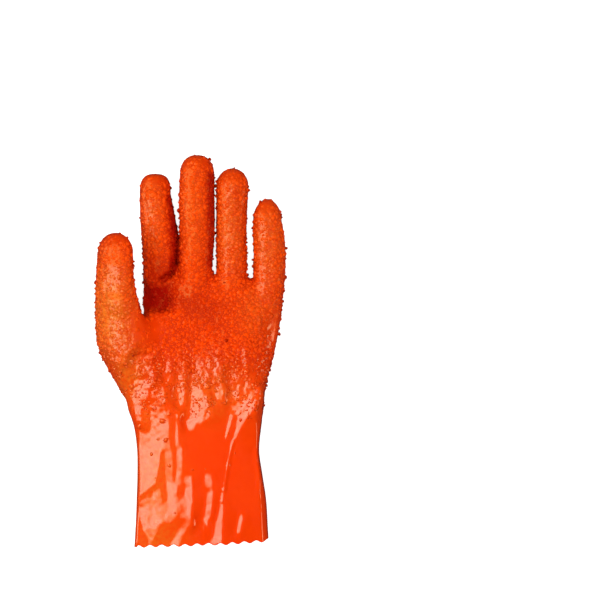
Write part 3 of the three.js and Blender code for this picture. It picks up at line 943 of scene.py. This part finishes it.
def domes(place, normal, size, grade, rng):
    """Low round swellings that run out into the surface: corners and faces."""
    count, sides = len(place), grade.sides
    side = np.cross(normal, rng.normal(size=(count, 3)))
    side /= np.linalg.norm(side, axis=1)[:, None]
    across = np.cross(normal, side)
    radius = (grade.small + (grade.large - grade.small) * size)[:, None, None]
    height = (grade.low + (grade.high - grade.low) * size * rng.uniform(0.6, 1.2, count))[:, None, None]
    ring = np.array(grade.rings)[None, :, None]
    angle = 2 * math.pi * np.arange(sides)[None, None, :] / sides
    out = radius * ring * rng.uniform(0.84, 1.16, (count, 1, sides))
    stretch = rng.uniform(1 / grade.longest, grade.longest, (count, 1, 1))
    u, v = out * stretch * np.cos(angle), out / stretch * np.sin(angle)
    fall = np.exp(-((DOME_FALL * ring) ** 2)) - DOME_FOOT
    w = height * fall * rng.uniform(0.85, 1.15, (count, 1, sides))
    w = w - (0.05 + radius**2 / FINGER_GIRTH) * ring**2
    rings = np.einsum("nrs,nd->nrsd", u, side) + np.einsum("nrs,nd->nrsd", v, across)
    rings = rings + np.einsum("nrs,nd->nrsd", w, normal) + place[:, None, None]
    top = place + normal * height[:, 0] * (1 - DOME_FOOT)
    lumps = np.concatenate([top[:, None], rings.reshape(count, -1, 3)], 1)
    faces = [(0, 1 + s, 1 + (s + 1) % sides) for s in range(sides)]
    for r in range(len(grade.rings) - 1):
        for s in range(sides):
            a, b = 1 + r * sides + s, 1 + r * sides + (s + 1) % sides
            faces += [(a, a + sides, b + sides), (a, b + sides, b)]
    return repeated(lumps, np.array(faces))


def grains(place, normal, size, grade, rng):
    """Lumps half sunk in the surface: corners and faces."""
    mesh = bmesh.new()
    bmesh.ops.create_icosphere(mesh, subdivisions=1, radius=1.0)
    ball = np.array([v.co for v in mesh.verts])
    faces = np.array([[v.index for v in f.verts] for f in mesh.faces])
    mesh.free()
    count = len(place)
    radius = grade.small + (grade.large - grade.small) * size
    spin = np.linalg.qr(rng.normal(size=(count, 3, 3)))[0]
    spin *= np.sign(np.linalg.det(spin))[:, None, None]
    lump = ball[None] * (1 + rng.uniform(-0.22, 0.22, (count, len(ball), 1)))
    lump = lump * rng.uniform(0.78, 1.15, (count, 1, 3))
    lump = np.einsum("nij,nkj->nki", spin, lump) * radius[:, None, None]
    centre = place + normal * (radius * rng.uniform(0.0, 0.6, count))[:, None]
    return repeated(lump + centre[:, None], faces)


def region_of(place):
    """The name of the part of the glove that each place lies on."""
    x, y = place[:, 0], place[:, 1]
    names = np.full(len(place), "palm", dtype="<U8")
    names[(x < THUMB_X + THUMB_LEAN * (y - THUMB_LEAN_Y)) & (y > THUMB_FROM_Y)] = "thumb"
    fingers = [n for n in FINGERS if n != "thumb"]
    off = np.stack([np.abs(at(FINGERS[n].rows, y).x - x) for n in fingers])
    nearest = np.array(fingers)[off.argmin(0)]
    on_finger = (y > FINGERS_FROM_Y) & (names != "thumb")
    names[on_finger] = nearest[on_finger]
    return names


def rims(grade, count):
    """How near each corner of a number of domes is to its rim, from 0 to 1."""
    rings = np.repeat([0, *grade.rings], [1] + [grade.sides] * len(grade.rings))
    return np.tile(smooth((rings - 0.4) / 0.5), count)


def runs_at(points, normals):
    """How thickly drawn-out crumbs cover each point of the wrist, from 0 to 1."""
    x, y = points[:, 0], points[:, 1]
    edge = wavy(x, RUNS_WAVES)
    cover = smooth((y + edge - RUNS_FROM_Y) / RUNS_FADE) * smooth((RUNS_TO_Y + edge - y) / RUNS_FADE)
    patchy = smooth(wobble(points, 9.0, 15.0) * 1.1 + 0.75)
    return RUNS_COVER * cover * patchy * facing_up(normals, -0.1, 0.4)


def lone_crumbs(points, normals):
    """Places, normals and radii of the single crumbs on the cuff."""
    upper = np.where(normals[:, 2] > 0.1)[0]
    nearest = [upper[((points[upper, :2] - (c.x, c.y)) ** 2).sum(1).argmin()] for c in LONE_CRUMBS]
    return points[nearest], normals[nearest], np.array([c.radius for c in LONE_CRUMBS])


def make_crumbs(skin, material):
    """All the crumbs, as one piece for each part of the glove."""
    points, normals = surface(skin)
    faces = triangles_of(skin.data)
    cover = grit_at(points, normals)
    apart = cover * (1 - GRAIN_BARE * facing_up(normals, 0.1, 0.5))
    runs = runs_at(points, normals)
    sets = [(domes, DOMES, cover), (domes, FINE_DOMES, cover), (grains, GRAINS, apart), (domes, RUNS, runs)]
    found = [(make, grade, scattered(points, normals, faces, share, grade)) for make, grade, share in sets]
    pieces = []
    for i, name in enumerate(["palm", *FINGERS]):
        rng = np.random.default_rng(100 + i)
        parts = []
        for make, grade, (place, normal, size) in found:
            here = region_of(place) == name
            if not here.any():
                continue
            corners, faces_made = make(place[here], normal[here], size[here], grade, rng)
            rim = np.zeros(len(corners)) if make is grains else rims(grade, here.sum())
            parts.append((corners, faces_made, rim, float(make is grains)))
        pieces.append(crumb_piece(f"crumbs_{name}", parts, material))
    lone = domes(*lone_crumbs(points, normals), LONE_DOMES, np.random.default_rng(99))
    parts = [(*lone, rims(LONE_DOMES, len(LONE_CRUMBS)), 0.0)]
    pieces.append(crumb_piece("crumbs_cuff", parts, material))
    return pieces


def crumb_piece(name, parts, material):
    """One object of several sets of corners, faces, rims and whether they are grains, which get painted
    shade, with nothing below the table.
    """
    start = np.cumsum([0] + [len(part[0]) for part in parts[:-1]])
    corners = np.concatenate([part[0] for part in parts])
    faces = np.concatenate([part[1] + n for part, n in zip(parts, start)])
    corners[:, 2] = np.maximum(corners[:, 2], 0.0)
    rim = np.concatenate([part[2] for part in parts])
    grain_shade = np.concatenate([np.full(len(part[0]), part[3]) for part in parts])
    mesh = mesh_of(name, corners, faces)
    wet = wet_at(corners)
    # Painted shade: darker in the creases and round the foot of each wet crumb.
    add_values(mesh, "painted_shade", np.maximum(painted_shade_at(corners), RIM_SHADE * rim * wet))
    add_values(mesh, "painted_sheen", painted_sheen_at(corners))
    add_values(mesh, "dull", 1 - wet)
    add_values(mesh, "grain_shade", grain_shade)
    mesh.materials.append(material)
    return add_object(name, mesh)


class Tree:
    """The node tree of a material, light or world, with short ways to add to it."""

    def __init__(self, owner):
        owner.use_nodes = True
        self.nodes, self.links = owner.node_tree.nodes, owner.node_tree.links

    def join(self, source, target):
        """Link a socket to an input, or set the input to a number or a colour."""
        if isinstance(source, bpy.types.NodeSocket):
            self.links.new(source, target)
        else:
            target.default_value = (*source, 1) if isinstance(source, tuple) else source

    def add(self, kind, output, *values, **settings):
        """An output of a new node: values go to its inputs in order, settings to what is named."""
        made = self.nodes.new("ShaderNode" + kind)
        for key, value in settings.items():
            title = key.replace("_", " ")
            if title in made.inputs:
                self.join(value, made.inputs[title])
            else:
                setattr(made, key, value)
        for i, value in enumerate(values):
            self.join(value, made.inputs[i])
        return made.outputs[output]

    def kept(self, name):
        """A number kept at each point of the mesh."""
        return self.add("Attribute", "Fac", attribute_name=name)

    def mixed(self, factor, first, second, data_type="RGBA"):
        """What turns from the first colour or number into the second as a factor goes from 0 to 1."""
        return self.add("Mix", "Result", data_type=data_type, Factor=factor, A=first, B=second)

    def ranged(self, value, from_min, from_max, to_min=0.0, to_max=1.0, curve="LINEAR"):
        """A value brought from one range to another."""
        ends = {"From_Min": from_min, "From_Max": from_max, "To_Min": to_min, "To_Max": to_max}
        return self.add("MapRange", "Result", interpolation_type=curve, Value=value, **ends)

    def times(self, first, second):
        """Two numbers multiplied."""
        return self.add("Math", 0, first, second, operation="MULTIPLY")


def new_material(name):
    """A material, its node tree and the inputs of its shader."""
    material = bpy.data.materials.new(name)
    tree = Tree(material)
    return material, tree, tree.nodes["Principled BSDF"].inputs


def shaded(tree, place, colour):
    """A colour with painted sheen, mottled paler in some places, and painted shade, darker in the creases
    and on the far sides of the fingers.
    """
    mottle = tree.add("TexNoise", "Fac", Vector=place, Scale=330.0, Detail=2.0)
    painted_sheen = tree.times(tree.kept("painted_sheen"), tree.ranged(mottle, 0.36, 0.64, 0.5, 1.1))
    return tree.mixed(tree.kept("painted_shade"), tree.mixed(painted_sheen, colour, PAINTED_SHEEN_ORANGE), PAINTED_SHADE_RED)


def coating_material():
    """Glossy orange plastic: smooth on the cuff, finely gritty where crumbs lie."""
    material, tree, shader = new_material("orange_coating")
    place = tree.add("TexCoord", "Object")
    grit, dull = tree.kept("grit"), tree.kept("dull")
    cloud = tree.add("TexNoise", "Fac", Vector=place, Scale=60.0, Detail=3.0, Roughness=0.6)
    smooth_colour = tree.mixed(tree.ranged(cloud, 0.35, 0.75), ORANGE, DEEP_ORANGE)
    # Painted shade: the coating is darker between the crumbs.
    colour = shaded(tree, place, tree.mixed(grit, smooth_colour, CRUMB_GAP_SHADE))
    tree.join(colour, shader["Base Color"])
    tree.join(tree.ranged(dull, 0.0, 1.0, 0.06, 0.20), shader["Roughness"])
    tree.join(tree.mixed(dull, WHITE, GLINT), shader["Specular Tint"])
    grain = tree.add("TexVoronoi", "Distance", Vector=place, Scale=900.0)
    pitted = tree.add("Bump", "Normal", Distance=0.00006, Strength=grit, Height=grain, invert=True)
    ripple = tree.add("TexNoise", "Fac", Vector=place, Scale=120.0, Detail=2.0)
    rippled = tree.add("Bump", "Normal", Distance=0.0002, Strength=0.25, Height=ripple, Normal=pitted)
    tree.join(rippled, shader["Normal"])
    return material


def crumb_material():
    """The crumbs: the same plastic, each lump a little lighter or deeper."""
    material, tree, shader = new_material("orange_crumb")
    place = tree.add("TexCoord", "Object")
    lump = tree.add("NewGeometry", "Random Per Island")
    dull = tree.kept("dull")
    colour = shaded(tree, place, tree.mixed(lump, GRIT_ORANGE, GRIT_DEEP))
    # Painted shade: the grains at the outline are darker.
    tree.join(tree.mixed(tree.kept("grain_shade"), colour, SHADED_GRAIN), shader["Base Color"])
    tree.join(tree.mixed(dull, WET_GLINT, CRUMB_GLINT), shader["Specular Tint"])
    rough = tree.mixed(dull, 0.09, tree.ranged(lump, 0.0, 1.0, 0.16, 0.28), "FLOAT")
    tree.join(tree.mixed(tree.kept("painted_sheen"), rough, 0.32, "FLOAT"), shader["Roughness"])
    pits = tree.add("TexNoise", "Fac", Vector=place, Scale=1500.0, Detail=2.0)
    tree.join(tree.add("Bump", "Normal", Distance=0.0003, Strength=0.25, Height=pits), shader["Normal"])
    return material


def knit_material():
    """The matt knitted inside, with fine ribs along the hand."""
    material, tree, shader = new_material("knitted_backing")
    place = tree.add("TexCoord", "Object")
    rows = tree.add("TexWave", "Fac", Vector=place, Scale=260.0, Distortion=1.5, Detail=2.0)
    tree.join(tree.mixed(rows, KNIT_SHADE, KNIT), shader["Base Color"])
    tree.join(tree.add("Bump", "Normal", Distance=0.0004, Strength=0.6, Height=rows), shader["Normal"])
    tree.join(0.95, shader["Roughness"])
    return material


def make_skin(name):
    """The glove's outer surface as an open skin."""
    skin = joined_form(name)
    relief = cuff_relief(skin)
    smooth_web(skin)
    shape_surface(skin, relief)
    cut_hem(skin)
    return skin


def finish_coating(skin, material):
    """Turn the outer skin's hem inwards by the wall's thickness, and note where it is gritty."""
    with edited(skin) as mesh:
        hem = [e for e in mesh.edges if e.is_boundary]
        made = bmesh.ops.extrude_edge_only(mesh, edges=hem)["geom"]
        for v in (v for v in made if isinstance(v, bmesh.types.BMVert)):
            source = next(e.other_vert(v) for e in v.link_edges if e.other_vert(v) not in made)
            v.co -= source.normal * WALL * MM
    points, normals = surface(skin)
    grit = grit_at(points, normals)
    palm = smooth((points[:, 1] - DULL_FROM_Y) / 12) * facing_up(normals, -0.5, 0.5)
    add_values(skin.data, "grit", grit)
    add_values(skin.data, "dull", np.maximum(grit, palm) * (1 - wet_at(points)))
    add_values(skin.data, "painted_shade", painted_shade_at(points))
    add_values(skin.data, "painted_sheen", painted_sheen_at(points))
    skin.data.materials.append(material)
    skin.data.shade_smooth()


def drop_uncovered(skin, tree):
    """Delete the faces of an inner skin that come too near the outer one, or through it."""

    def uncovered(place):
        place = place / MM
        nearest, normal = tree.find_nearest(place)[:2]
        return (nearest - place).dot(normal) < LEAST_COVER

    def bare(face):
        return any(uncovered(place) for place in (face.calc_center_median(), *(v.co for v in face.verts)))

    with edited(skin) as mesh:
        bmesh.ops.delete(mesh, geom=[f for f in mesh.faces if bare(f)], context="FACES")


def room_inside(tree, points, normals):
    """How far it is from each point of a skin straight in to the skin's far side."""
    start = points - normals * SKIN_GAP
    hits = [tree.ray_cast(Vector(p), Vector(-n))[3] for p, n in zip(start, normals)]
    return np.array([LENGTH if distance is None else distance for distance in hits])


def make_backing(name, outer, material):
    """The inner skin: the outer one, moved in by the wall's thickness and turned to face the hollow."""
    skin = add_object(name, outer.data.copy())
    points, normals = surface(skin)
    tree = BVHTree.FromPolygons(points.tolist(), triangles_of(skin.data).tolist())
    wall = np.minimum(WALL, room_inside(tree, points, normals) * THIN_SHARE)
    set_coordinates(skin.data, points - normals * wall[:, None])
    modified(skin, "DECIMATE", ratio=KNIT_SHARE)
    drop_uncovered(skin, tree)
    skin.data.flip_normals()
    skin.data.materials.append(material)
    skin.data.shade_smooth()
    return skin


def centre_glove(pieces):
    """Bring the pieces from the section tables' frame to the part's own."""
    for piece in pieces:
        points = coordinates(piece.data)
        points[:, 0] -= CENTRE_X
        points[:, 1] -= CENTRE_Y
        set_coordinates(piece.data, points)


def make_floor():
    """A plain pale floor that keeps its white in the shadows, as a lit studio table does."""
    mesh = bpy.data.meshes.new("floor")
    h = FLOOR_HALF
    corners = [(-h, -h, 0), (h, -h, 0), (h, h, 0), (-h, h, 0)]
    mesh.from_pydata(corners, [], [(0, 1, 2, 3)])
    floor = add_object("floor", mesh)
    floor.location.z = -FLOOR_DROP
    material, tree, shader = new_material("floor")
    tree.join(FLOOR, shader["Base Color"])
    tree.join(0.9, shader["Roughness"])
    plain = tree.nodes["Principled BSDF"].outputs[0]
    dark = tree.add("BsdfDiffuse", 0, Color=DARK_FLOOR)
    mirrored = tree.add("MixShader", 0, tree.add("LightPath", "Is Glossy Ray"), plain, dark)
    strength = tree.times(tree.add("LightPath", "Is Camera Ray"), FLOOR_GLOW)
    glowing = tree.add("AddShader", 0, mirrored, tree.add("Emission", 0, Strength=strength))
    tree.join(glowing, tree.nodes["Material Output"].inputs["Surface"])
    mesh.materials.append(material)


def make_lamp(lamp):
    """One soft box that faces the glove."""
    light = bpy.data.lights.new(lamp.name, "AREA")
    light.shape = "RECTANGLE"
    light.size, light.size_y = lamp.width, lamp.height
    light.energy = lamp.radiance * math.pi * lamp.width * lamp.height
    light.color = lamp.colour
    box = add_object(lamp.name, light)
    a, e = math.radians(lamp.azimuth), math.radians(lamp.elevation)
    towards = Vector((math.cos(a) * math.cos(e), math.sin(a) * math.cos(e), math.sin(e)))
    box.location = towards * lamp.distance
    box.rotation_mode = "QUATERNION"
    box.rotation_quaternion = (-towards).to_track_quat("-Z", "Y")
    box.visible_glossy = lamp.mirrored
    box.visible_diffuse = not lamp.mirrored
    box.visible_camera = False
    return light


def soften(light):
    """Let a soft box fade towards its edges, and shine a little unevenly."""
    tree = Tree(light)
    across = tree.add("NewGeometry", "Parametric")
    cloud = tree.add("TexNoise", "Fac", Vector=across, Scale=SHEEN_CLOUD, Detail=3.0)
    strength = tree.ranged(cloud, 0.3, 0.7, 0.6, 1.4)
    for axis in ("X", "Y"):
        middle = tree.add("Math", 0, tree.add("SeparateXYZ", axis, across), 0.5, operation="SUBTRACT")
        off = tree.add("Math", 0, middle, operation="ABSOLUTE")
        fade = tree.ranged(off, 0.5, 0.5 - SHEEN_EDGE, curve="SMOOTHSTEP")
        strength = tree.times(strength, fade)
    glow = tree.nodes["Emission"].inputs
    tree.join(strength, glow["Strength"])
    tree.join(tree.mixed(strength, SHEEN_RIM, SHEEN_MIDDLE), glow["Color"])


def make_lights():
    """The soft boxes, and a studio that is pale behind the floor but dim as it lights the glove."""
    lights = {lamp.name: make_lamp(lamp) for lamp in LAMPS}
    soften(lights["sheen"])
    world = bpy.data.worlds.new("studio")
    tree = Tree(world)
    room = tree.mixed(tree.add("LightPath", "Is Camera Ray"), DIM_ROOM, PALE_WALL)
    tree.join(room, tree.nodes["Background"].inputs["Color"])
    bpy.context.scene.world = world
    bpy.context.scene.view_settings.view_transform = "Standard"


def make_camera():
    """A camera straight above, with the glove where the photograph has it."""
    camera = bpy.data.cameras.new("camera")
    seen = add_object("camera", camera)
    x = (FRAME_PX / 2 - ORIGIN_PX[0]) * PIXEL - CENTRE_X
    y = (ORIGIN_PX[1] - FRAME_PX / 2) * PIXEL - CENTRE_Y
    seen.location = Vector((x, y, FOCUS_Z + CAMERA_DISTANCE)) * MM
    camera.sensor_width = SENSOR
    camera.lens = SENSOR * CAMERA_DISTANCE / (FRAME_PX * PIXEL)
    camera.clip_start, camera.clip_end = 0.05, 20.0
    bpy.context.scene.camera = seen


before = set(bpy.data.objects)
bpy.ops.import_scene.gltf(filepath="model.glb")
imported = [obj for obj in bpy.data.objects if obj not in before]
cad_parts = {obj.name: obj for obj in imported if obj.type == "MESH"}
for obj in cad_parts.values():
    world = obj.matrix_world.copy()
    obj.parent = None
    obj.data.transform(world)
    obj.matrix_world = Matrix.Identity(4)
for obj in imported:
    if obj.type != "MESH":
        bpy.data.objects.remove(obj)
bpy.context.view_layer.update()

coating = make_skin("glove_coating")
backing = make_backing("glove_backing", coating, knit_material())
crumbs = make_crumbs(coating, crumb_material())
finish_coating(coating, coating_material())
pieces = [coating, backing, *crumbs]
centre_glove(pieces)
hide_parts("glove_shell")
for piece in pieces:
    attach(piece, "root")

make_floor()
make_lights()
make_camera()
